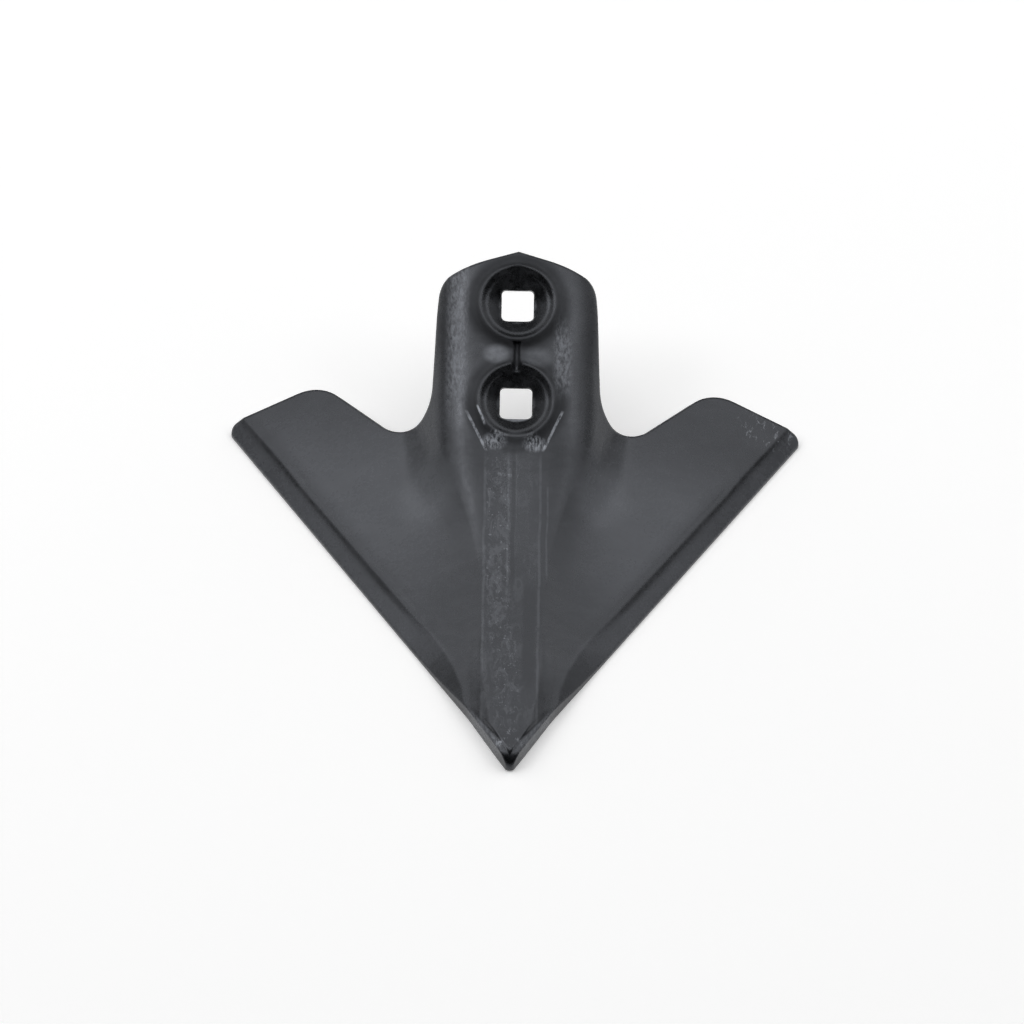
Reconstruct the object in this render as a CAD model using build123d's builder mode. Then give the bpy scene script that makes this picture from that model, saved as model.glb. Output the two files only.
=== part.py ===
"""Cultivator sweep: a one-piece pressed steel share with two swept wings and a channel stem.

X runs across, the nose points to -Y, +Z is up. Both cutting edges lie in the plane Z = 0, as they
do in the ground, and the stem rises to the rear. Millimetres.
"""
import math
import os

from build123d import *

os.makedirs("parts", exist_ok=True)

# Plate and attitude
plate = 5.5
wing_pitch = 20.0
stem_pitch = 25.0
nose_half_angle = 34.1
edge_start = 1.7

# Crown line: height of the front face on the centre line
nose_height = 7.6
crown_slope = 0.155
root_start = 72.0
root_end = 150.0

# Loft stations: y, half width of the crown, half width at the foot of the flank, crown radius, valley radius
stations = (
    (-12.0, 3.0, 15.0, 3.0, 20.0),
    (10.0, 5.0, 17.0, 4.0, 30.0),
    (30.0, 10.0, 20.5, 4.0, 48.0),
    (60.0, 12.3, 23.5, 4.0, 95.0),
    (85.0, 12.8, 25.0, 5.0, 140.0),
    (105.0, 14.2, 31.0, 10.0, 110.0),
    (120.0, 16.6, 38.0, 16.0, 90.0),
    (135.0, 20.6, 44.0, 20.0, 60.0),
    (150.0, 25.2, 45.0, 22.0, 42.0),
    (168.0, 28.8, 45.8, 24.0, 25.0),
    (190.0, 28.8, 50.7, 24.0, 25.0),
    (215.0, 28.8, 56.2, 24.0, 25.0),
    (245.0, 28.8, 62.9, 24.0, 25.0),
)
sheet_half_width = 76.0
wing_reach = 140.0

# Nose
nose_kink = (18.5, 29.2)
nose_virtual_tip = -2.1
nose_kink_radius = 60.0
nose_tip_radius = 2.4
nose_round_radius = 8.0
nose_thickening = 1.6
nose_thickening_end = 60.0

# Rear outline of one side, drawn on a plane square to the mean lie of the plate there
trim_lean = (0.6875, -0.30, 1.0)
hump_corner = (59.9, 211.5)
notch_corner = (15.1, 159.7)
shoulder_corner = (-9.9, 233.6)
wing_end_slope = -0.224
stem_top_slope = -0.163
hump_radius = 17.0
notch_radius = 17.8
shoulder_radius = 11.0
trim_reach = 160.0
trim_margin = 20.0
trim_rear = 260.0

# Sharpened wing edges, measured in plan square to the edge and along it from the nose
wing_tip_x = 125.0
wing_tip_radius = 3.0
edge_thickness = 1.8
bevel_start_height = 9.6
bevel_width_nose = 9.0
bevel_width_tip = 6.4
bevel_runout_widening = 1.0
bevel_runout_start = 24.0
bevel_runout_end = 76.0
bevel_runout_power = 1.8
bevel_end = 245.0
runout_steps = 5

# Shallow rolled line above each bevel, fading out at both ends
roll_line_radius = 4.5
roll_line_depth = 0.35
roll_line_start = 62.0
roll_line_end = 208.0
roll_line_fade = 30.0
roll_line_offset_nose = 0.6
roll_line_offset_tip = 1.1

# Bolt seats on the stem, for square-necked countersunk bolts: heights from the front of the stem
hole_spacing = 44.45
hole_side = 14.2
hole_corner = 2.0
lower_hole_along = 20.5
crest_radius = 17.0
crest_height = 2.0
crest_width = 0.7
skirt_knee_radius = 18.7
skirt_knee_height = 0.55
skirt_end_radius = 22.5
skirt_end_height = -0.85
step_radius = 14.0
step_width = 0.6
step_height = 0.2
cone_end_radius = 7.9
cone_end_height = -4.3
boss_height = 0.5
boss_radius = 17.6
boss_root_radius = 18.4

# Pointed arch at the top of each seat: two planes that run on from the countersink through the crest
arch_turn = 26.6
arch_start_radius = 7.5
arch_start_side = 1.2
arch_start_base = 3.0
arch_spread = 1.35
arch_rise = 8.3

# Pressed slot that joins the arch of the lower seat to the foot of the upper one
groove_width = 3.2
groove_depth = 1.8
groove_floor_width = 0.9
groove_flare = 0.8
groove_fillet = 0.4
groove_end_gap = 17.4

wing_rise = math.tan(math.radians(wing_pitch)) * math.sin(math.radians(nose_half_angle))
wing_fall = math.tan(math.radians(wing_pitch)) * math.cos(math.radians(nose_half_angle))
wing_thickness = plate / math.cos(math.radians(wing_pitch))
stem_slope = math.tan(math.radians(stem_pitch))


def bend(y, start, end):
    """Run gained by a slope that grows evenly from 0 to 1 between start and end."""
    if y <= start:
        return 0.0
    if y >= end:
        return y - (start + end) / 2
    return (y - start) ** 2 / (2 * (end - start))


def crown_height(y):
    return nose_height + crown_slope * y + (stem_slope - crown_slope) * bend(y, root_start, root_end)


def crown_pitch(y):
    share = min(max((y - root_start) / (root_end - root_start), 0.0), 1.0)
    return math.atan(crown_slope + (stem_slope - crown_slope) * share)


def wing_height(y):
    return wing_thickness + wing_rise * (y - edge_start)


def sheet_line(crown, half_crown, steep, wing, crown_radius, valley_radius):
    """One face of the sheet at a station: wing, flank and crown joined by arcs."""
    foot = (crown + steep * half_crown - wing) / (steep - wing_fall)
    foot_height = wing - wing_fall * foot
    end_height = wing - wing_fall * sheet_half_width
    return FilletPolyline(
        (-sheet_half_width, end_height),
        (-foot, foot_height),
        (-half_crown, crown),
        (half_crown, crown),
        (foot, foot_height),
        (sheet_half_width, end_height),
        radius=(valley_radius, crown_radius, crown_radius, valley_radius),
    )


with BuildPart() as sweep:
    # Sheet: one cross-section per station, from before the nose to past the stem
    for y, half_crown, foot, crown_radius, valley_radius in stations:
        crown = crown_height(y)
        wing = wing_height(y)
        steep = (crown - wing + wing_fall * foot) / (foot - half_crown)
        flank = math.atan(steep)
        nose_share = min(max(1.0 - y / nose_thickening_end, 0.0), 1.0)
        depth = plate / math.cos(crown_pitch(y)) + nose_thickening * nose_share
        back_half_crown = half_crown - depth * math.tan(flank / 2)
        back_crown_radius = max(crown_radius - plate, 1.0)
        with BuildSketch(Plane(origin=(0, y, 0), x_dir=(1, 0, 0), z_dir=(0, -1, 0))):
            with BuildLine():
                front = sheet_line(crown, half_crown, steep, wing, crown_radius, valley_radius)
                back = sheet_line(
                    crown - depth, back_half_crown, steep, wing - wing_thickness,
                    back_crown_radius, valley_radius + plate,
                )
                Line(front @ 0, back @ 0)
                Line(front @ 1, back @ 1)
            make_face()
    loft()

    # Flat outer wings, carried on from both sides of the sheet
    for side in (1, -1):
        wing_plane = Plane(
            origin=(0, edge_start, 0),
            x_dir=(1, 0, -side * wing_fall),
            z_dir=(side * wing_fall, -wing_rise, 1),
        )
        near = side * sheet_half_width
        far = side * wing_reach
        front_y = stations[0][0]
        rear_y = stations[-1][0]
        plan = ((near, front_y), (far, front_y), (far, rear_y), (near, rear_y))
        corners = [Vector(x, y, wing_height(y) - wing_thickness - wing_fall * abs(x)) for x, y in plan]
        with BuildSketch(wing_plane):
            with BuildLine():
                Polyline([wing_plane.to_local_coords(corner) for corner in corners], close=True)
            make_face()
        extrude(amount=wing_thickness, dir=(0, 0, 1))

    # Seat pads on the stem: a raised collar in front and a flat boss behind at each bolt hole
    stem_plane = Plane(
        origin=(0, root_end, crown_height(root_end)),
        x_dir=(1, 0, 0),
        z_dir=(0, -math.sin(math.radians(stem_pitch)), math.cos(math.radians(stem_pitch))),
    )
    boss_face = -plate - boss_height
    seats_along = (lower_hole_along, lower_hole_along + hole_spacing)
    seat_planes = [
        stem_plane.shift_origin(stem_plane.from_local_coords((0, along, 0))) for along in seats_along
    ]
    for seat in seat_planes:
        with BuildSketch(Plane(origin=seat.origin, x_dir=(1, 0, 0), z_dir=-seat.y_dir)):
            with BuildLine():
                Polyline(
                    (0, crest_height),
                    (0, boss_face),
                    (boss_radius, boss_face),
                    (boss_root_radius, -0.5 * plate),
                    (skirt_end_radius, -0.5 * plate),
                    (skirt_end_radius, skirt_end_height),
                    (skirt_knee_radius, skirt_knee_height),
                    (crest_radius, crest_height),
                    (0, crest_height),
                )
            make_face()
        revolve(axis=Axis(seat.origin, seat.z_dir))

    # Cutting edges: a V in plan with a slimmer, blunted nose
    tip_x = wing_tip_x + trim_margin
    tip_y = edge_start + tip_x / math.tan(math.radians(nose_half_angle))
    with BuildSketch():
        with BuildLine():
            FilletPolyline(
                (-tip_x, tip_y),
                (-nose_kink[0], nose_kink[1]),
                (0, nose_virtual_tip),
                nose_kink,
                (tip_x, tip_y),
                radius=(nose_kink_radius, nose_tip_radius, nose_kink_radius),
            )
            Polyline((tip_x, tip_y), (tip_x, trim_rear), (-tip_x, trim_rear), (-tip_x, tip_y))
        make_face()
    extrude(amount=trim_reach, both=True, mode=Mode.INTERSECT)

    # Rear outline: wing end, hump, notch, stem side and stem top, cut about square to the plate
    for side in (1, -1):
        lean = Vector(side * trim_lean[0], trim_lean[1], trim_lean[2])
        across = Vector(side * trim_lean[2], 0, -trim_lean[0])
        with BuildSketch(Plane(origin=(0, 0, 0), x_dir=across, z_dir=side * lean)):
            far_out = (trim_reach, hump_corner[1] + wing_end_slope * (trim_reach - hump_corner[0]))
            far_in = (-trim_reach, shoulder_corner[1] + stem_top_slope * (-trim_reach - shoulder_corner[0]))
            with BuildLine():
                FilletPolyline(
                    far_out, hump_corner, notch_corner, shoulder_corner, far_in,
                    radius=(hump_radius, notch_radius, shoulder_radius),
                )
                Polyline(far_in, (-trim_reach, -trim_reach), (trim_reach, -trim_reach), far_out)
            make_face()
        extrude(amount=trim_reach, both=True, mode=Mode.INTERSECT)
    wing_tips = sweep.edges().filter_by(
        lambda edge: abs(edge.center().X) > wing_tip_x - plate and edge.length < 2 * plate
    )
    fillet(wing_tips, wing_tip_radius)

    # Nose: rounded over from above, and ground flat below on the plane of the cutting edges
    crown_angle = math.degrees(crown_pitch(0))
    round_centre_z = crown_height(nose_round_radius) - nose_round_radius / math.cos(crown_pitch(0))
    with BuildSketch(Plane.YZ):
        with BuildLine():
            point = CenterArc(
                (nose_round_radius, round_centre_z), nose_round_radius, 90 + crown_angle, 90 - crown_angle
            )
            Polyline(
                point @ 1,
                (-nose_round_radius, round_centre_z),
                (-nose_round_radius, 4 * nose_round_radius),
                ((point @ 0).X, 4 * nose_round_radius),
                point @ 0,
            )
        make_face()
    extrude(amount=nose_kink[0], both=True, mode=Mode.SUBTRACT)
    with BuildSketch():
        Rectangle(4 * nose_kink[0], 2 * nose_thickening_end)
    extrude(amount=-plate, mode=Mode.SUBTRACT)

    # Sharpened edges: a wedge taken off the front face, running out before the nose
    theta = math.radians(nose_half_angle)
    rise_in = math.tan(math.radians(wing_pitch))
    runout = bevel_runout_end - bevel_runout_start
    steps = [bevel_runout_start + runout * k / runout_steps for k in range(runout_steps + 1)] + [bevel_end]
    for side in (1, -1):
        along = Vector(side * math.sin(theta), math.cos(theta), 0)
        inward = Vector(-side * math.cos(theta), math.sin(theta), 0)
        for distance in steps:
            to_go = max(bevel_runout_end - distance, 0) / runout
            share = max(distance - bevel_runout_end, 0) / (bevel_end - bevel_runout_end)
            width = bevel_width_nose + (bevel_width_tip - bevel_width_nose) * share
            width += bevel_runout_widening * to_go
            slope = rise_in + (wing_thickness - edge_thickness) / width
            foot_z = edge_thickness + (bevel_start_height - edge_thickness) * to_go ** bevel_runout_power
            top_z = foot_z + 2 * width * slope
            start = Vector(0, edge_start, 0) + along * distance
            with BuildSketch(Plane(origin=start, x_dir=inward, z_dir=inward.cross(Vector(0, 0, 1)))):
                with BuildLine():
                    Polyline(
                        (-width, foot_z),
                        (0, foot_z),
                        (2 * width, top_z),
                        (-width, top_z),
                        (-width, foot_z),
                    )
                make_face()
        loft(ruled=True, mode=Mode.SUBTRACT)

    # Rolled line above each bevel: a long spindle laid along the wing
    roll_end_radius = roll_line_radius - 2 * roll_line_depth
    for side in (1, -1):
        along = Vector(side * math.sin(theta), math.cos(theta), 0)
        inward = Vector(-side * math.cos(theta), math.sin(theta), rise_in)
        edge_top = Vector(0, edge_start, wing_thickness)
        start = edge_top + along * roll_line_start + inward * (bevel_width_nose + roll_line_offset_nose)
        end = edge_top + along * roll_line_end + inward * (bevel_width_tip + roll_line_offset_tip)
        wing_normal = Vector(side * wing_fall, -wing_rise, 1).normalized()
        line_plane = Plane(
            origin=start + wing_normal * (roll_line_radius - roll_line_depth),
            x_dir=end - start,
            z_dir=(end - start).cross(wing_normal),
        )
        length = (end - start).length
        with BuildSketch(line_plane):
            with BuildLine():
                Polyline(
                    (0, 0),
                    (0, -roll_end_radius),
                    (roll_line_fade, -roll_line_radius),
                    (length - roll_line_fade, -roll_line_radius),
                    (length, -roll_end_radius),
                    (length, 0),
                    (0, 0),
                )
            make_face()
        revolve(axis=Axis(line_plane.origin, line_plane.x_dir), mode=Mode.SUBTRACT)

    # Pressed slot along the stem, from the lower seat to the foot of the upper one
    half_width = groove_width / 2
    half_flare = half_width + groove_flare * crest_height
    groove_plane = Plane(origin=seat_planes[0].origin, x_dir=(1, 0, 0), z_dir=stem_plane.y_dir)
    with BuildSketch(groove_plane.offset(step_radius)):
        with BuildLine():
            FilletPolyline(
                (half_flare, -2 * crest_height),
                (half_width, 0),
                (groove_floor_width / 2, groove_depth),
                (-groove_floor_width / 2, groove_depth),
                (-half_width, 0),
                (-half_flare, -2 * crest_height),
                radius=groove_fillet,
            )
            Line((-half_flare, -2 * crest_height), (half_flare, -2 * crest_height))
        make_face()
    extrude(amount=hole_spacing - step_radius - groove_end_gap, mode=Mode.SUBTRACT)

    # Pointed arches: a five-sided plug that grows with height, its two top planes tangent to the countersink
    turn = math.radians(arch_turn)
    for seat in seat_planes:
        for height in (0, arch_rise):
            growth = arch_spread * height
            radius = arch_start_radius + growth
            side = arch_start_side + growth
            base = arch_start_base - growth
            side_top = (radius - side * math.sin(turn)) / math.cos(turn)
            with BuildSketch(seat.offset(cone_end_height + height)):
                Polygon(
                    (0, radius / math.cos(turn)),
                    (-side, side_top),
                    (-side, base),
                    (side, base),
                    (side, side_top),
                    align=None,
                )
        loft(ruled=True, mode=Mode.SUBTRACT)

    # Bolt holes: a countersink for the cone of the head, then the square for its neck
    for seat in seat_planes:
        with BuildSketch(Plane(origin=seat.origin, x_dir=(1, 0, 0), z_dir=-seat.y_dir)):
            with BuildLine():
                Polyline(
                    (0, cone_end_height),
                    (cone_end_radius, cone_end_height),
                    (step_radius - step_width, step_height),
                    (step_radius, step_height),
                    (crest_radius - crest_width, crest_height),
                    (crest_radius - crest_width, 2 * crest_height),
                    (0, 2 * crest_height),
                    (0, cone_end_height),
                )
            make_face()
        revolve(axis=Axis(seat.origin, seat.z_dir), mode=Mode.SUBTRACT)
        with BuildSketch(seat):
            RectangleRounded(hole_side, hole_side, hole_corner)
        extrude(amount=2 * plate, both=True, mode=Mode.SUBTRACT)

# The same part with the frame's origin under its middle
with BuildPart() as cultivator_sweep:
    extent = sweep.part.bounding_box()
    lowest = min(corner.Z for corner in sweep.vertices())
    with Locations((-extent.center().X, -extent.center().Y, -lowest)):
        add(sweep.part)

cultivator_sweep.part.label = "cultivator_sweep"
export_step(cultivator_sweep.part, "parts/cultivator_sweep.step")
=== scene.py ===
import math

import bpy
from mathutils import Matrix, Vector

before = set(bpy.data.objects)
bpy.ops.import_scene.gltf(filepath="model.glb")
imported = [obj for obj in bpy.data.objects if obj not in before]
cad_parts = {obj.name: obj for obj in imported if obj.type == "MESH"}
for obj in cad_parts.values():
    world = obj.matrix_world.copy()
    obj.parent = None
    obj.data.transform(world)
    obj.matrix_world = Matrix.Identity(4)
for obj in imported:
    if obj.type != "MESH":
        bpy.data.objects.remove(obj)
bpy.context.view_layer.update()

MM = 0.001
IMAGE_PX = 1024
WHITE = (1, 1, 1, 1)
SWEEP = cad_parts["cultivator_sweep"]

# Camera, set out from where the photograph shows the nose point
PX_PER_MM = 2.2727
NOSE_PX = (509.5, 772.3)
NOSE_Y = -115.5 * MM
ELEVATION = math.radians(51.0)
AZIMUTH = math.radians(-0.30)
ROLL = math.radians(1.32)
CAMERA_DISTANCE = 20.0
CAMERA_NEAR = 0.1
SENSOR_MM = 36.0

# Light: height of the level panels, and the room's own light from the front to the rear
PANEL_HEIGHT = 3.0
ROOM_FRONT = 0.03
ROOM_REAR = 0.6
ROOM_FADE = (-0.4, 0.9)

# Floor, and what it sends of its own to the camera and to reflections, where 1 is white
FLOOR_HALF_SIZE = 2.5 * CAMERA_DISTANCE
FLOOR_COLOUR = (0.93, 0.93, 0.93, 1)
FLOOR_ROUGHNESS = 0.9
FLOOR_SPECULAR = 0.2
FLOOR_LIFT = 0.20

# From here on, places and heights in the paint are in millimetres in the sweep's own frame.
# Cutting edges in plan: half the angle at the nose, and where the two edges would meet
EDGE_ANGLE = math.radians(34.1)
EDGE_NOSE_Y = -113.8

# Middles of the bolt seats, how much the stem's pitch shortens a length in plan, and the dull rings' rims
SEATS_Y = (93.2, 52.9)
STEM_SHORTENING = 0.906
RING_INNER = (16, 18.5)
RING_OUTER = (20, 25)

# Ovals: middle and half size. Those of the hollows and flanks lie on both sides
HOLLOWS = ((37, 22), (18, 20))
FLANKS = ((20, 16), (17, 40))
# Flares: lighter patches of painted highlight beside the nose
LEFT_FLARE = ((-14.0, -66), (4.5, 13))
RIGHT_FLARE = ((15.0, -66), (5.0, 14))
# Spots below the lower seat, lobes between the seats and the lip under the lower seat's hole carry painted
# highlights; the chin below it is a lighter patch
LEFT_HIGHLIGHT_SPOT = ((-9.2, 36.5), (7.0, 4.4))
RIGHT_HIGHLIGHT_SPOT = ((8.5, 35.5), (6.5, 4.2))
LEFT_LOBE = ((-9.0, 72.5), (7.5, 5.0))
RIGHT_LOBE = ((9.0, 71.0), (9.0, 5.5))
SEAT_LIP = ((0, 48.6), (9.0, 2.2))
SEAT_CHIN = ((-0.5, 36.8), (9.0, 4.5))
# Painted glints near the nose point
NOSE_GLINTS = ((-2, -104), (8, 7))
TIP_SCUFFS = ((112, 73), (20, 13))
OVAL_CORE = 0.35

# Bands: middle, half width and soft border, across the sweep and, where they end, along it
STRIP = (-1.0, 11.5, 1.6)
TRACK = (0.0, 4.5, 1.8)
# Thin lines of painted highlight along the crown's bends
LEFT_LINE = (-13.1, 0.25, 0.55)
RIGHT_LINE = (11.5, 0.25, 0.55)
SECOND_LINE = ((14.7, 0.15, 0.5), (-2, 18, 5))
INNER_LINE = ((-2.6, 0.15, 0.6), (2, 30, 6))
# Grooves: painted shade, and a shallow dip in the relief
CENTRE_GROOVE = ((-0.2, 0.5, 1.0), (4, 24, 12))
LOWER_GROOVE = ((7.5, 1.6, 2.6), (-52, 18, 14))
TICK_ACROSS = (-3.5, 4.5, 1.0)
TICK_ALONG = (22.0, 0.35, 0.6)
# Stem shoulders: a band of painted highlight
LEFT_SHOULDER = (-26.5, 2.0, 4.0)
RIGHT_SHOULDER = (20.5, 1.8, 3.6)
CREASE_ALONG = (41, 7, 2)
ARC_ALONG = (46.5, 3, 1.5)

# Slanting folds below the lower seat, which carry painted highlights: slope, offset and half width
LEFT_CREASE = (0.55, -5.1, 0.35)
RIGHT_CREASE = (-0.50, 4.0, 0.35)
LEFT_ARC = (0.457, -5.75, 0.2)
FOLD_BORDER = 0.5
ARC_GAIN = 1.6

# Slope of the wing glow's limits and of the tick across the sweep, and the strip's wander to each side
LEAN = 0.12
WANDER = 0.8

# Fades in from the cutting edge, or across the sweep: from, to, then first and last value where not 0 and 1
# The wing glow faded by these is painted light
WING_GLOW_EDGE = (6, 16)
WING_GLOW_ACROSS = (15, 54)
BEVEL_TONE_BORDER = (-1.5, 1.5, 1.0, 0.0)
BARE_EDGE = (0.2, 1.0, 1.0, 0.0)
ROLL_EDGE = (5.2, 9.8)
BRINK_EDGE = (0.9, 2.6)

# Fades along the sweep, in the same order
WING_GLOW_START = (-48, 12, 0.25, 1.0)
WING_GLOW_END = (28, 72, 1.0, 0.12)
BEVEL_TONE_START = (-68, -40)
BEVEL_TONE_WIDTH = (-55, -15, 9.5, 5.0)
STRIP_START = (-104, -88)
STRIP_END = (26, 34, 1.0, 0.0)
TRACK_MIDDLE = (-72, -30, -2.0, -7.0)
SHOULDER_START = (42, 64)
RIGHT_SHOULDER_START = (50, 66)
RIGHT_SHOULDER_END = (78, 90, 1.0, 0.05)
BARE_START = (-112, -106)
BARE_END = (-92, -80, 1.0, 0.12)
ROLL_START = (-62, -20)
ROLL_END = (58, 72, 1.0, 0.0)
BRINK_END = (-96, -84, 1.0, 0.0)

# Share of the front face's marks by how far a face looks up
FRONT = (-0.05, 0.15)

# Noises, in metres: stretch where there is one, then scale, detail, roughness and distortion
PATCH_NOISE = (38.0, 4.0, 0.55)
CLOUD_STRETCH = (0.6, 1.5, 1.0)
CLOUD_NOISE = (75.0, 4.0, 0.6, 0.6)
SPECK_NOISE = (420.0, 3.0, 0.6)
GRAIN_STRETCH = (900, 320, 600)
GRAIN_NOISE = (1.0, 3.0, 0.7)
STREAK_STRETCH = (420, 24, 24)
STREAK_NOISE = (1.0, 3.0, 0.6)
MARK_STRETCH = (1.5, 0.8, 1.0)
MOTTLE_NOISE = (150.0, 6.0, 0.70, 1.2)
FLECK_NOISE = (260.0, 5.0, 0.75, 0.6)
GLINT_NOISE = (900.0, 2.0, 0.5)
WANDER_STRETCH = (0, 1, 0)
WANDER_NOISE = (55.0, 2.0, 0.5)
BREAK_STRETCH = (0.3, 1, 0.3)
BREAK_NOISE = (150.0, 3.0, 0.6)

# Values of a noise between which a layer fades in, then first and last value where not 0 and 1
MOTTLE_RANGE = (0.46, 0.62)
FLECK_RANGE = (0.56, 0.66)
GLINT_RANGE = (0.64, 0.74)
BREAK_RANGE = (0.32, 0.56, 0.25, 1.0)
SPOT_GRAIN_RANGE = (0.35, 0.7)
LOBE_RANGE = (0.2, 0.7, 0.6, 1.0)
CREASE_RANGE = (0.3, 0.6)
SHOULDER_RANGE = (0.32, 0.72)
BARE_RANGE = (0.3, 0.65, 0.3, 1.3)
CLOUD_DUST = (0.3, 0.75, 0.0, 0.009)
SPECK_DUST = (0.4, 0.7, 0.0, 0.004)
PATCH_GLOSS = (0.3, 0.7, 0.24, 0.30)
SPECK_GLOSS = (0.35, 0.7, -0.02, 0.04)

# Tones that each layer adds, where 1 is white
PAINT_TONE = 0.0016
# Wing glow: painted light, brightest amid each wing
WING_GLOW = 0.042
# Lighter tone in the hollows beside the crown and on the bevels
HOLLOW_TONE = 0.030
BEVEL_TONE = 0.030
STRIP_TONE = 0.006
STRIP_MOTTLE = 0.020
TRACK_MOTTLE = 0.022
# Painted highlights on the crown: glints, flecks, lines and flares
TRACK_GLINTS = 0.14
TRACK_FLECKS = 0.05
LINE_TONE = 0.036
TICK_TONE = 0.09
FLARE_TONE = 0.016
# Painted highlights on the stem: spots, lobes, creases, shoulders and lip; the chin is a lighter patch
SPOT_HIGHLIGHT_TONE = 0.34
LOBE_TONE = 0.17
CREASE_TONE = 0.28
SHOULDER_TONE = 0.16
LIP_TONE = 0.16
CHIN_TONE = 0.036
EDGE_METAL = 0.07
SCUFF_METAL = 0.16
# Painted glints near the nose point
NOSE_GLINT_TONE = 0.25

# Shares: the film kept in the grooves, which paints shade there, the right lobe's painted highlight beside
# the left one, and red, green and blue of the tone
GROOVE_SHADE_SHARE = 0.1
RIGHT_LOBE_SHARE = 0.4
PAINT_HUE = (0.95, 1.0, 1.10)

# What marks, painted highlights, flanks and rings add to the roughness, and the paint's reflection
MARK_ROUGHNESS = 0.8
FLANK_ROUGHNESS = 0.08
RING_ROUGHNESS = 0.36
PAINT_IOR = 1.58
PAINT_SHEEN = (0.880, 0.915, 1.0, 1)

# Relief heights, and the radius that softens the solid's own edges
ROLL_HEIGHT = 0.30
BRINK_HEIGHT = 0.7
PATCH_HEIGHT = 0.12
CLOUD_HEIGHT = 0.10
SPECK_HEIGHT = 0.02
STREAK_HEIGHT = 0.07
MOTTLE_HEIGHT = 0.06
GRAIN_HEIGHT = 0.05
GROOVE_HEIGHT = -0.12
SOFT_RADIUS = 1.8
SOFT_SAMPLES = 6


def make_camera():
    """A long lens at the photograph's height and turn, with the nose point on its pixel."""
    right = Vector((math.cos(AZIMUTH), math.sin(AZIMUTH), 0))
    up = Vector((
        -math.sin(AZIMUTH) * math.sin(ELEVATION),
        math.cos(AZIMUTH) * math.sin(ELEVATION),
        math.cos(ELEVATION),
    ))
    side = right * math.cos(ROLL) + up * math.sin(ROLL)
    top = up * math.cos(ROLL) - right * math.sin(ROLL)
    toward = side.cross(top)
    metres_per_px = MM / PX_PER_MM
    aim = Vector((0, NOSE_Y, 0))
    aim += side * (IMAGE_PX / 2 - NOSE_PX[0]) * metres_per_px
    aim += top * (NOSE_PX[1] - IMAGE_PX / 2) * metres_per_px
    data = bpy.data.cameras.new("camera")
    data.sensor_width = SENSOR_MM
    data.lens = SENSOR_MM * CAMERA_DISTANCE / (IMAGE_PX * metres_per_px)
    data.clip_start = CAMERA_NEAR
    data.clip_end = 3 * CAMERA_DISTANCE
    camera = bpy.data.objects.new("camera", data)
    place = Matrix((side, top, toward)).transposed().to_4x4()
    place.translation = aim + toward * CAMERA_DISTANCE
    camera.matrix_world = place
    bpy.context.scene.collection.objects.link(camera)
    bpy.context.scene.camera = camera


def add_lamp(name, width, height, radiance):
    """A soft rectangular lamp whose whole face shines with one radiance."""
    data = bpy.data.lights.new(name, "AREA")
    data.shape = "RECTANGLE"
    data.size = width
    data.size_y = height
    data.energy = radiance * math.pi * width * height
    lamp = bpy.data.objects.new(name, data)
    bpy.context.scene.collection.objects.link(lamp)
    return lamp


def make_lamp(name, azimuth, elevation, distance, width, height, radiance):
    """A lamp that faces the sweep. Azimuth 0 is in front of the nose, 90 at the right wing."""
    azimuth = math.radians(azimuth)
    elevation = math.radians(elevation)
    direction = Vector((
        math.sin(azimuth) * math.cos(elevation),
        -math.cos(azimuth) * math.cos(elevation),
        math.sin(elevation),
    ))
    lamp = add_lamp(name, width, height, radiance)
    lamp.location = direction * distance
    lamp.rotation_euler = direction.to_track_quat("Z", "Y").to_euler()


def make_panel(name, across, along, radiance):
    """A level panel over a stretch of X and Y, facing down."""
    panel = add_lamp(name, across[1] - across[0], along[1] - along[0], radiance)
    panel.location = ((across[0] + across[1]) / 2, (along[0] + along[1]) / 2, PANEL_HEIGHT)


def make_lamps():
    """Panels overhead, a narrow lamp for each side of the stem, and side, rear and low lamps."""
    make_panel("lamp_overhead", (-4.0, 4.0), (0.3, 3.2), 1.30)
    make_panel("lamp_front_left", (-4.0, -0.8), (-0.85, 0.3), 2.40)
    make_panel("lamp_front_right", (-0.8, 4.0), (-0.85, 0.3), 1.75)
    make_lamp("lamp_band_left", -78, 52, 3.0, 0.9, 0.5, 3.0)
    make_lamp("lamp_band_right", 72, 48, 3.0, 0.7, 0.5, 1.6)
    make_lamp("lamp_side_left", -85, 30, 3.4, 1.2, 0.8, 1.0)
    make_lamp("lamp_side_right", 85, 30, 3.4, 1.2, 0.8, 0.8)
    make_lamp("lamp_rear_left", -122, 26, 3.4, 3.4, 1.6, 0.6)
    make_lamp("lamp_rear_right", 122, 26, 3.4, 3.4, 1.6, 0.65)
    make_lamp("lamp_low_left", -112, 5, 3.4, 3.4, 0.55, 0.9)
    make_lamp("lamp_low_right", 112, 5, 3.4, 3.4, 0.55, 0.7)


def make_room():
    """A room that is darkest in front."""
    world = bpy.data.worlds.new("studio")
    bpy.context.scene.world = world
    world.use_nodes = True
    tree = world.node_tree
    coords = tree.nodes.new("ShaderNodeTexCoord")
    split = tree.nodes.new("ShaderNodeSeparateXYZ")
    fade = tree.nodes.new("ShaderNodeMapRange")
    fade.interpolation_type = "SMOOTHSTEP"
    fade.inputs["From Min"].default_value = ROOM_FADE[0]
    fade.inputs["From Max"].default_value = ROOM_FADE[1]
    fade.inputs["To Min"].default_value = ROOM_FRONT
    fade.inputs["To Max"].default_value = ROOM_REAR
    tree.links.new(coords.outputs["Generated"], split.inputs["Vector"])
    tree.links.new(split.outputs["Y"], fade.inputs["Value"])
    tree.links.new(fade.outputs["Result"], tree.nodes["Background"].inputs["Strength"])


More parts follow.
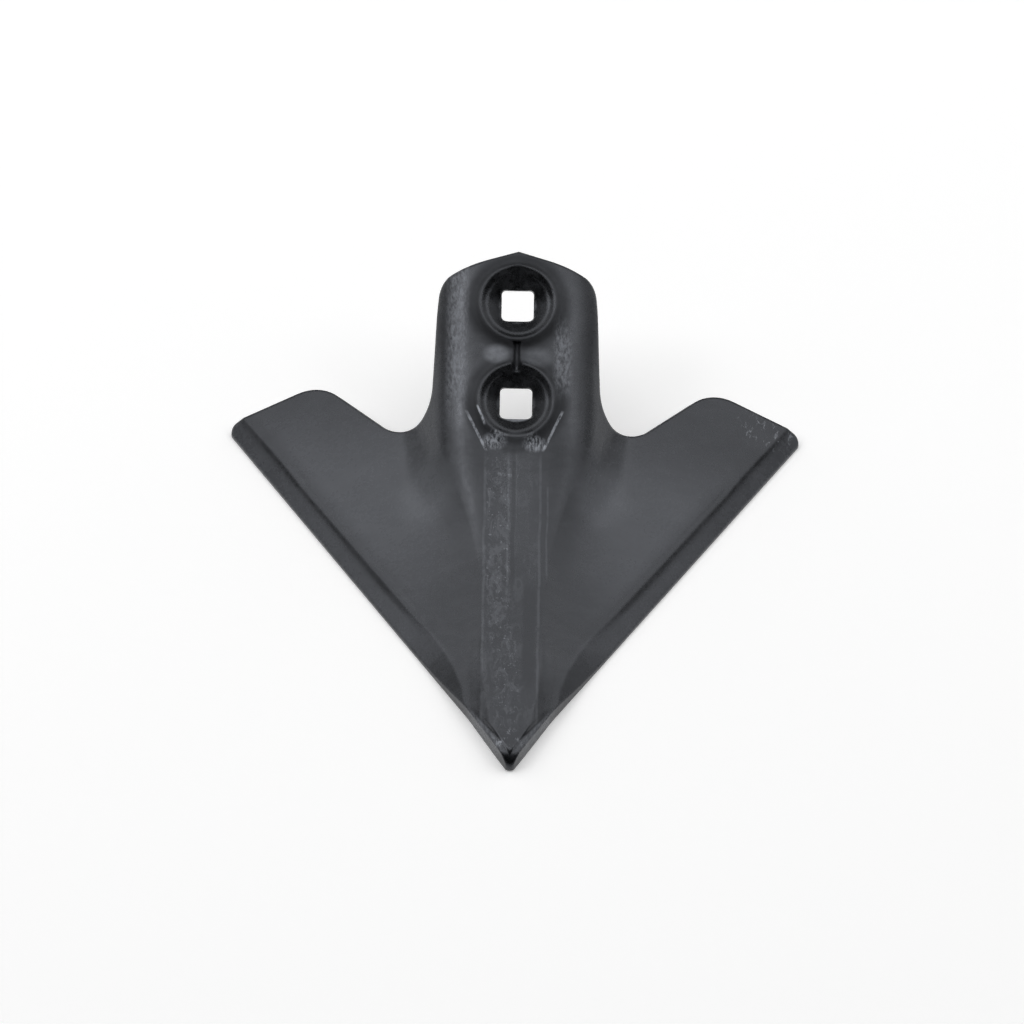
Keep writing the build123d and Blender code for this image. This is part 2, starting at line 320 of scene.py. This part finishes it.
class Graph:
    """Short names for the nodes of one material. A socket takes a number, a colour or an output."""

    def __init__(self, name):
        self.material = bpy.data.materials.new(name)
        self.material.use_nodes = True
        self.tree = self.material.node_tree
        self.shader = self.tree.nodes["Principled BSDF"]

    def feed(self, socket, value):
        if isinstance(value, (int, float, tuple)):
            socket.default_value = value
        else:
            self.tree.links.new(value, socket)

    def node(self, kind, **settings):
        node = self.tree.nodes.new(kind)
        for key, value in settings.items():
            setattr(node, key, value)
        return node

    def calc(self, operation, *values):
        node = self.node("ShaderNodeMath", operation=operation)
        for socket, value in zip(node.inputs, values):
            self.feed(socket, value)
        return node.outputs[0]

    def chain(self, operation, values):
        result = values[0]
        for value in values[1:]:
            result = self.calc(operation, result, value)
        return result

    def product(self, *values):
        return self.chain("MULTIPLY", values)

    def total(self, *values):
        return self.chain("ADD", values)

    def most(self, *values):
        return self.chain("MAXIMUM", values)

    def ramp(self, value, low, high, start=0.0, end=1.0):
        """Value carried smoothly from low..high to start..end, held at both ends."""
        node = self.node("ShaderNodeMapRange", interpolation_type="SMOOTHSTEP")
        for socket, number in zip(node.inputs, (value, low, high, start, end)):
            self.feed(socket, number)
        return node.outputs[0]

    def band(self, value, centre, half, border):
        """1 inside centre +- half, falling to 0 over the border."""
        distance = self.calc("ABSOLUTE", self.calc("SUBTRACT", value, centre))
        return self.ramp(distance, half, half + border, 1.0, 0.0)

    def reach(self, first, second):
        """Length of the line with these two sides."""
        return self.calc("SQRT", self.calc("ADD", self.product(first, first), self.product(second, second)))

    def split(self, vector):
        node = self.node("ShaderNodeSeparateXYZ")
        self.feed(node.inputs[0], vector)
        return node.outputs

    def mapping(self, vector, scale):
        node = self.node("ShaderNodeMapping")
        self.feed(node.inputs["Vector"], vector)
        node.inputs["Scale"].default_value = scale
        return node.outputs["Vector"]

    def noise(self, vector, scale, detail, roughness, distortion=0.0):
        node = self.node("ShaderNodeTexNoise")
        self.feed(node.inputs["Vector"], vector)
        node.inputs["Scale"].default_value = scale
        node.inputs["Detail"].default_value = detail
        node.inputs["Roughness"].default_value = roughness
        node.inputs["Distortion"].default_value = distortion
        return node.outputs["Fac"]


def make_floor():
    """A white floor that keeps the shadow."""
    reach = FLOOR_HALF_SIZE
    mesh = bpy.data.meshes.new("floor")
    corners = [(-reach, -reach, 0), (reach, -reach, 0), (reach, reach, 0), (-reach, reach, 0)]
    mesh.from_pydata(corners, [], [(0, 1, 2, 3)])
    floor = bpy.data.objects.new("floor", mesh)
    bpy.context.scene.collection.objects.link(floor)
    g = Graph("floor")
    g.shader.inputs["Base Color"].default_value = FLOOR_COLOUR
    g.shader.inputs["Roughness"].default_value = FLOOR_ROUGHNESS
    g.shader.inputs["Specular IOR Level"].default_value = FLOOR_SPECULAR
    g.shader.inputs["Emission Color"].default_value = WHITE
    rays = g.node("ShaderNodeLightPath").outputs
    seen = g.most(rays["Is Camera Ray"], rays["Is Glossy Ray"])
    g.feed(g.shader.inputs["Emission Strength"], g.product(seen, FLOOR_LIFT))
    mesh.materials.append(g.material)


class Paint(Graph):
    """Satin charcoal paint on pressed steel, with its marks and its bare places, random clouds and specks, a
    painted glow on the wings and painted highlights.
    """

    def __init__(self, name):
        super().__init__(name)
        self.set_places()
        self.set_noises()
        self.set_strip()
        self.set_stem()

    def set_places(self):
        """Where a point lies: across, along, in from the cutting edge, and on the front face or the back."""
        coords = self.node("ShaderNodeTexCoord").outputs
        self.place = coords["Object"]
        self.x, self.y = self.split(self.mapping(self.place, (1 / MM, 1 / MM, 1 / MM)))[:2]
        self.front = self.ramp(self.split(coords["Normal"])[2], *FRONT)
        self.across = self.calc("ABSOLUTE", self.x)
        self.lean = self.calc("MULTIPLY_ADD", self.x, LEAN, self.y)
        forward = self.product(self.calc("SUBTRACT", self.y, EDGE_NOSE_Y), math.sin(EDGE_ANGLE))
        self.edge = self.calc("SUBTRACT", forward, self.product(self.across, math.cos(EDGE_ANGLE)))

    def set_noises(self):
        """Noises that several layers share, from broad patches to fine grain."""
        self.patches = self.noise(self.place, *PATCH_NOISE)
        self.clouds = self.noise(self.mapping(self.place, CLOUD_STRETCH), *CLOUD_NOISE)
        self.specks = self.noise(self.place, *SPECK_NOISE)
        self.grain = self.noise(self.mapping(self.place, GRAIN_STRETCH), *GRAIN_NOISE)
        stretched = self.mapping(self.place, MARK_STRETCH)
        self.mottle = self.ramp(self.noise(stretched, *MOTTLE_NOISE), *MOTTLE_RANGE)
        self.flecks = self.ramp(self.noise(stretched, *FLECK_NOISE), *FLECK_RANGE)

    def oval(self, centre, half, across=None):
        """1 in the middle of an oval, falling to 0 at its rim."""
        across = self.x if across is None else across
        dx = self.calc("DIVIDE", self.calc("SUBTRACT", across, centre[0]), half[0])
        dy = self.calc("DIVIDE", self.calc("SUBTRACT", self.y, centre[1]), half[1])
        return self.ramp(self.reach(dx, dy), OVAL_CORE, 1.0, 1.0, 0.0)

    def ring(self, seat_y):
        """1 on a ring about a bolt seat, falling to 0 towards the seat and away from it."""
        dy = self.calc("DIVIDE", self.calc("SUBTRACT", self.y, seat_y), STEM_SHORTENING)
        radius = self.reach(self.x, dy)
        return self.product(self.ramp(radius, *RING_INNER), self.ramp(radius, *RING_OUTER, 1.0, 0.0))

    def streak(self, across, along):
        """A band that follows the strip's wander and ends at both ends."""
        return self.product(self.band(self.strip_x, *across), self.band(self.y, *along))

    def fold(self, slope, offset, half):
        """A slanting band, where X + slope * Y + offset is near 0."""
        slant = self.calc("MULTIPLY_ADD", self.y, slope, self.calc("ADD", self.x, offset))
        return self.band(slant, 0.0, half, FOLD_BORDER)

    def set_strip(self):
        """The strip along the crown, a brighter track that drifts over to its left, and two grooves, where
        shade is painted.
        """
        winding = self.noise(self.mapping(self.place, WANDER_STRETCH), *WANDER_NOISE)
        self.strip_x = self.calc("ADD", self.x, self.calc("MULTIPLY_ADD", winding, 2 * WANDER, -WANDER))
        ends = self.product(self.ramp(self.y, *STRIP_START), self.ramp(self.y, *STRIP_END))
        self.strip_run = self.product(ends, self.front)
        self.strip = self.product(self.band(self.strip_x, *STRIP), self.strip_run)
        track_x = self.calc("SUBTRACT", self.strip_x, self.ramp(self.y, *TRACK_MIDDLE))
        self.track = self.product(self.band(track_x, *TRACK), self.strip_run)
        self.grooves = self.product(
            self.most(self.streak(*CENTRE_GROOVE), self.streak(*LOWER_GROOVE)), self.front
        )

    def set_stem(self):
        """Where highlights are painted on the stem: two spots below the lower seat and its shoulders; and
        the dull rings about its seats.
        """
        self.highlight_spots = self.most(self.oval(*LEFT_HIGHLIGHT_SPOT), self.oval(*RIGHT_HIGHLIGHT_SPOT))
        right_shoulder = self.product(
            self.band(self.x, *RIGHT_SHOULDER),
            self.ramp(self.y, *RIGHT_SHOULDER_START),
            self.ramp(self.y, *RIGHT_SHOULDER_END),
        )
        shoulders = self.most(self.band(self.x, *LEFT_SHOULDER), right_shoulder)
        self.shoulders = self.product(shoulders, self.ramp(self.y, *SHOULDER_START))
        self.rings = self.most(*[self.ring(seat_y) for seat_y in SEATS_Y])

    def dust_and_glow(self):
        """Tone of the film: a glow of painted light amid each wing, lighter tone beside the crown and on the
        bevels, and random clouds and specks.
        """
        wing = self.product(
            self.ramp(self.lean, *WING_GLOW_START),
            self.ramp(self.lean, *WING_GLOW_END),
            self.ramp(self.across, *WING_GLOW_ACROSS),
            self.ramp(self.edge, *WING_GLOW_EDGE),
        )
        past_bevel = self.calc("SUBTRACT", self.edge, self.ramp(self.y, *BEVEL_TONE_WIDTH))
        bevel = self.product(self.ramp(past_bevel, *BEVEL_TONE_BORDER), self.ramp(self.y, *BEVEL_TONE_START))
        return self.total(
            self.product(wing, WING_GLOW),
            self.product(self.oval(*HOLLOWS, self.across), HOLLOW_TONE),
            self.product(bevel, BEVEL_TONE),
            self.ramp(self.clouds, *CLOUD_DUST),
            self.ramp(self.specks, *SPECK_DUST),
        )

    def strip_marks(self):
        """Tone of the crown's marks: mottling and a short tick, with painted highlights: glints, flecks,
        thin lines along its bends and flares near the nose.
        """
        breaks = self.noise(self.mapping(self.place, BREAK_STRETCH), *BREAK_NOISE)
        side_lines = self.most(self.band(self.strip_x, *LEFT_LINE), self.band(self.strip_x, *RIGHT_LINE))
        lines = self.most(side_lines, self.streak(*SECOND_LINE), self.streak(*INNER_LINE))
        lines = self.product(lines, self.strip_run, self.ramp(breaks, *BREAK_RANGE))
        tick = self.product(self.band(self.lean, *TICK_ALONG), self.band(self.x, *TICK_ACROSS))
        glints = self.ramp(self.noise(self.place, *GLINT_NOISE), *GLINT_RANGE)
        flares = self.most(self.oval(*LEFT_FLARE), self.oval(*RIGHT_FLARE))
        return self.total(
            self.product(self.strip, STRIP_TONE),
            self.product(self.strip, self.mottle, STRIP_MOTTLE),
            self.product(self.track, self.mottle, TRACK_MOTTLE),
            self.product(self.track, glints, TRACK_GLINTS),
            self.product(self.track, self.flecks, TRACK_FLECKS),
            self.product(lines, LINE_TONE),
            self.product(tick, self.mottle, self.front, TICK_TONE),
            self.product(flares, self.front, FLARE_TONE),
        )

    def stem_highlights(self):
        """Tone of the painted highlights about the lower seat, on its folds and lip, between the seats and
        on the stem's shoulders; and a lighter patch below the lower seat.
        """
        lobes = self.most(self.oval(*LEFT_LOBE), self.product(self.oval(*RIGHT_LOBE), RIGHT_LOBE_SHARE))
        arc = self.product(self.fold(*LEFT_ARC), self.band(self.y, *ARC_ALONG))
        creases = self.most(self.fold(*LEFT_CREASE), self.fold(*RIGHT_CREASE), self.product(arc, ARC_GAIN))
        creases = self.product(creases, self.most(self.band(self.y, *CREASE_ALONG), arc))
        stem_highlights = self.total(
            self.product(self.highlight_spots, self.ramp(self.grain, *SPOT_GRAIN_RANGE), SPOT_HIGHLIGHT_TONE),
            self.product(lobes, self.ramp(self.specks, *LOBE_RANGE), LOBE_TONE),
            self.product(creases, self.ramp(self.grain, *CREASE_RANGE), CREASE_TONE),
            self.product(self.shoulders, self.ramp(self.grain, *SHOULDER_RANGE), SHOULDER_TONE),
            self.product(self.oval(*SEAT_LIP), LIP_TONE),
            self.product(self.oval(*SEAT_CHIN), CHIN_TONE),
        )
        return self.product(stem_highlights, self.front)

    def bare_metal(self):
        """Tone of the bare metal: cutting edges near the nose and scuffs on the right wing; and painted
        glints near the nose point.
        """
        edges = self.product(
            self.ramp(self.edge, *BARE_EDGE),
            self.ramp(self.y, *BARE_START),
            self.ramp(self.y, *BARE_END),
            self.ramp(self.grain, *BARE_RANGE),
        )
        return self.total(
            self.product(edges, EDGE_METAL),
            self.product(self.oval(*TIP_SCUFFS), self.flecks, self.front, SCUFF_METAL),
            self.product(self.oval(*NOSE_GLINTS), self.flecks, self.front, NOSE_GLINT_TONE),
        )

    def relief(self):
        """Height: rolled line beside each bevel, brink near the nose, grooves, scratches, orange peel."""
        roll = self.product(
            self.ramp(self.edge, *ROLL_EDGE), self.ramp(self.y, *ROLL_START), self.ramp(self.y, *ROLL_END)
        )
        brink = self.product(self.ramp(self.edge, *BRINK_EDGE), self.ramp(self.y, *BRINK_END))
        streaks = self.noise(self.mapping(self.place, STREAK_STRETCH), *STREAK_NOISE)
        return self.total(
            self.product(roll, self.front, ROLL_HEIGHT),
            self.product(brink, self.front, BRINK_HEIGHT),
            self.product(self.patches, PATCH_HEIGHT),
            self.product(self.clouds, CLOUD_HEIGHT),
            self.product(self.specks, SPECK_HEIGHT),
            self.product(streaks, self.strip, STREAK_HEIGHT),
            self.product(self.mottle, self.track, MOTTLE_HEIGHT),
            self.product(self.grain, self.most(self.shoulders, self.highlight_spots), GRAIN_HEIGHT),
            self.product(self.grooves, GROOVE_HEIGHT),
        )


def make_paint():
    """The paint's layers put together: colour, roughness, reflection and relief."""
    p = Paint("black_paint")
    marks = p.strip_marks()
    stem_highlights = p.stem_highlights()
    # Most of the film is taken out of the grooves, which paints shade there
    film = p.product(p.total(p.dust_and_glow(), marks), p.ramp(p.grooves, 0.0, 1.0, 1.0, GROOVE_SHADE_SHARE))
    tone = p.total(PAINT_TONE, film, stem_highlights, p.bare_metal())
    colour = p.node("ShaderNodeCombineColor")
    for socket, share in zip(colour.inputs, PAINT_HUE):
        p.feed(socket, p.product(tone, share))
    p.feed(p.shader.inputs["Base Color"], colour.outputs[0])
    roughness = p.total(
        p.ramp(p.patches, *PATCH_GLOSS),
        p.ramp(p.specks, *SPECK_GLOSS),
        p.product(p.total(stem_highlights, marks), MARK_ROUGHNESS),
        p.product(p.oval(*FLANKS, p.across), FLANK_ROUGHNESS),
        p.product(p.rings, RING_ROUGHNESS),
    )
    p.feed(p.shader.inputs["Roughness"], roughness)
    p.shader.inputs["IOR"].default_value = PAINT_IOR
    p.shader.inputs["Specular Tint"].default_value = PAINT_SHEEN
    soft = p.node("ShaderNodeBevel", samples=SOFT_SAMPLES)
    soft.inputs["Radius"].default_value = SOFT_RADIUS * MM
    bump = p.node("ShaderNodeBump")
    bump.inputs["Distance"].default_value = MM
    p.feed(bump.inputs["Height"], p.relief())
    p.feed(bump.inputs["Normal"], soft.outputs["Normal"])
    p.feed(p.shader.inputs["Normal"], bump.outputs["Normal"])
    return p.material


bpy.context.scene.view_settings.view_transform = "Standard"
make_camera()
make_lamps()
make_room()
make_floor()
paint = make_paint()
for slot in SWEEP.material_slots:
    slot.material = paint
